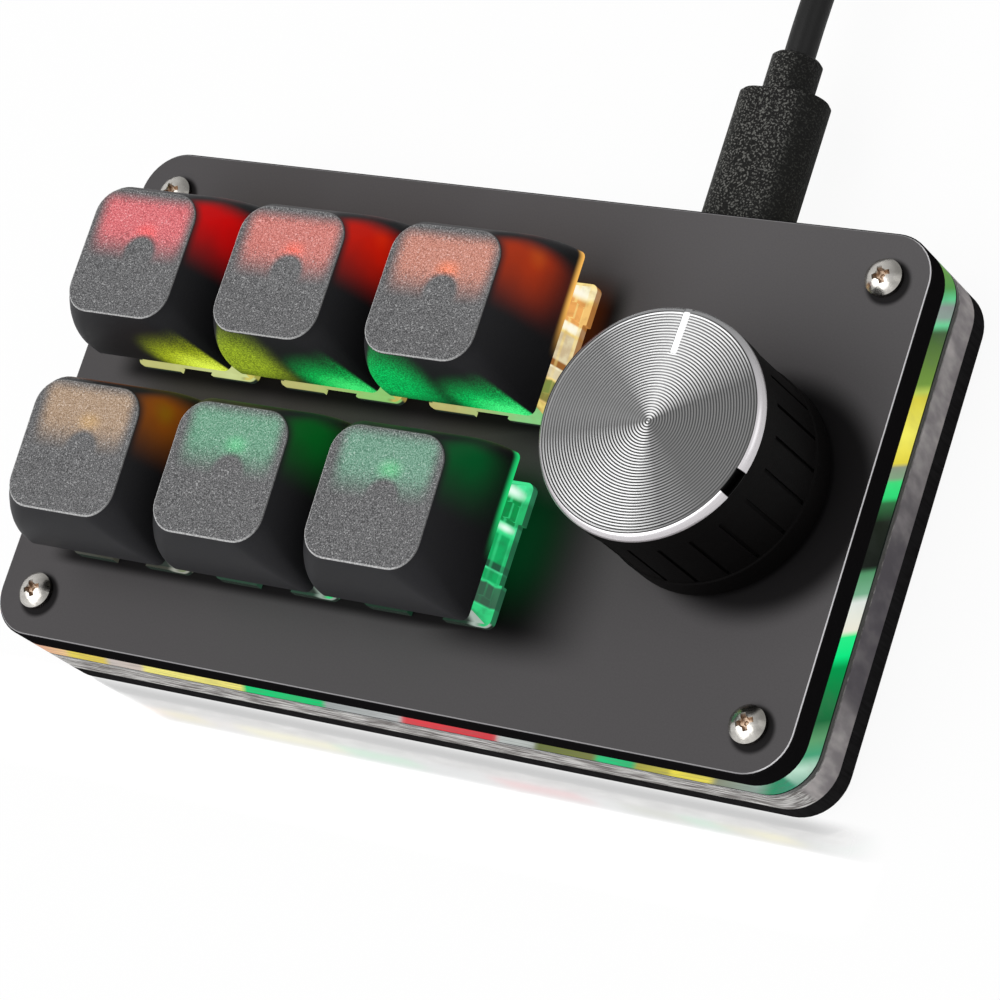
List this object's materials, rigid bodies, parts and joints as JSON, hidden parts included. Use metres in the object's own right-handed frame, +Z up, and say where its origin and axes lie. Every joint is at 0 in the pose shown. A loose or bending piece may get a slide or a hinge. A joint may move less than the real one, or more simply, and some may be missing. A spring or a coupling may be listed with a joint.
{
  "type": "macro keypad",
  "caption": "Small desk keypad of stacked black and clear plates with backlit push keys, a metal-capped rotary knob and a USB lead that leaves its back edge.",
  "frame": {"origin": "centre of the plates' outline, on the surface that the rubber feet stand on; the USB lead is left out of it", "axes": "+X to the knob's end, +Y to the back edge with the USB socket, +Z up"},
  "size_m": [0.1072, 0.156, 0.0331],
  "materials": {
    "black_sheet": "fine satin black acrylic sheet",
    "clear_sheet_lit": "clear acrylic sheet, lit from inside",
    "clear_sheet": "clear acrylic sheet",
    "circuit_board": "black solder mask on glass laminate",
    "bright_screw": "bright stainless steel",
    "brass_standoff": "turned brass",
    "foot_rubber": "matt black rubber",
    "plated_steel": "nickel plated sheet steel",
    "chip_plastic": "moulded chip package",
    "chip_ceramic": "ceramic chip parts",
    "led_white": "white light package",
    "contact_brass": "thin phosphor bronze",
    "encoder_plastic": "moulded black plastic",
    "spring_steel": "bright spring wire",
    "zinc_casting": "plated die casting",
    "white_acetal": "white acetal",
    "shaft_aluminium": "turned aluminium",
    "knob_plastic": "black moulded plastic, satin",
    "spun_aluminium": "spun with fine rings, bright cut chamfer",
    "smoked_keycap": "smoked translucent plastic with fine grain",
    "milky_stem": "milky acetal",
    "clear_housing": "clear moulded plastic",
    "plug_grip": "soft black moulding with leather grain",
    "cable_jacket": "smooth satin black jacket",
    "tie_plastic": "flat black plastic strip"
  },
  "bodies": {
    "case": {"top_plate": "black_sheet", "upper_spacer": "clear_sheet_lit", "circuit_board": "circuit_board", "lower_spacer": "clear_sheet", "bottom_plate": "black_sheet", "top_screws": "bright_screw", "standoffs": "brass_standoff", "bottom_screws": "bright_screw", "rubber_feet": "foot_rubber", "usb_socket": "plated_steel", "controller_chip": "chip_plastic", "board_components": "chip_ceramic", "key_leds": "led_white", "edge_leds": "led_white", "switch_spring_1": "spring_steel", "switch_spring_2": "spring_steel", "switch_spring_3": "spring_steel", "switch_spring_4": "spring_steel", "switch_spring_5": "spring_steel", "switch_spring_6": "spring_steel", "switch_lid_1": "clear_housing", "switch_lid_2": "clear_housing", "switch_lid_3": "clear_housing", "switch_lid_4": "clear_housing", "switch_lid_5": "clear_housing", "switch_lid_6": "clear_housing", "switch_base_1": "clear_housing", "switch_base_2": "clear_housing", "switch_base_3": "clear_housing", "switch_base_4": "clear_housing", "switch_base_5": "clear_housing", "switch_base_6": "clear_housing", "switch_contacts": "contact_brass", "encoder_base": "encoder_plastic", "encoder_pins": "plated_steel", "encoder_dome": "spring_steel", "encoder_frame": "zinc_casting", "usb_plug_shell": "plated_steel", "usb_plug_overmold": "plug_grip", "cable": "cable_jacket", "cable_coil": "cable_jacket", "cable_tie": "tie_plastic", "host_plug_shell": "plated_steel", "host_plug_overmold": "plug_grip"},
    "key_1": {"keycap_1": "smoked_keycap", "switch_stem_1": "milky_stem"},
    "key_2": {"keycap_2": "smoked_keycap", "switch_stem_2": "milky_stem"},
    "key_3": {"keycap_3": "smoked_keycap", "switch_stem_3": "milky_stem"},
    "key_4": {"keycap_4": "smoked_keycap", "switch_stem_4": "milky_stem"},
    "key_5": {"keycap_5": "smoked_keycap", "switch_stem_5": "milky_stem"},
    "key_6": {"keycap_6": "smoked_keycap", "switch_stem_6": "milky_stem"},
    "encoder_turn": {"encoder_rotor": "white_acetal"},
    "knob": {"encoder_shaft": "shaft_aluminium", "knob_skirt": "knob_plastic", "knob_disc": "spun_aluminium"}
  },
  "joints": [
    {"name": "key_1_press", "type": "slide", "parent": "case", "child": "key_1", "axis": [0, 0, -1], "range_m": [0, 0.004], "stiffness_N_per_m": 80, "springref_m": -0.0044, "deforming": ["switch_spring_1"]},
    {"name": "key_2_press", "type": "slide", "parent": "case", "child": "key_2", "axis": [0, 0, -1], "range_m": [0, 0.004], "stiffness_N_per_m": 80, "springref_m": -0.0044, "deforming": ["switch_spring_2"]},
    {"name": "key_3_press", "type": "slide", "parent": "case", "child": "key_3", "axis": [0, 0, -1], "range_m": [0, 0.004], "stiffness_N_per_m": 80, "springref_m": -0.0044, "deforming": ["switch_spring_3"]},
    {"name": "key_4_press", "type": "slide", "parent": "case", "child": "key_4", "axis": [0, 0, -1], "range_m": [0, 0.004], "stiffness_N_per_m": 80, "springref_m": -0.0044, "deforming": ["switch_spring_4"]},
    {"name": "key_5_press", "type": "slide", "parent": "case", "child": "key_5", "axis": [0, 0, -1], "range_m": [0, 0.004], "stiffness_N_per_m": 80, "springref_m": -0.0044, "deforming": ["switch_spring_5"]},
    {"name": "key_6_press", "type": "slide", "parent": "case", "child": "key_6", "axis": [0, 0, -1], "range_m": [0, 0.004], "stiffness_N_per_m": 80, "springref_m": -0.0044, "deforming": ["switch_spring_6"]},
    {"name": "knob_turn", "type": "hinge", "parent": "case", "child": "encoder_turn", "pos_m": [0.0335, 0, 0], "axis": [0, 0, 1], "continuous": true},
    {"name": "knob_press", "type": "slide", "parent": "encoder_turn", "child": "knob", "axis": [0, 0, -1], "range_m": [0, 0.0005], "stiffness_N_per_m": 3000, "springref_m": -0.001}
  ]
}
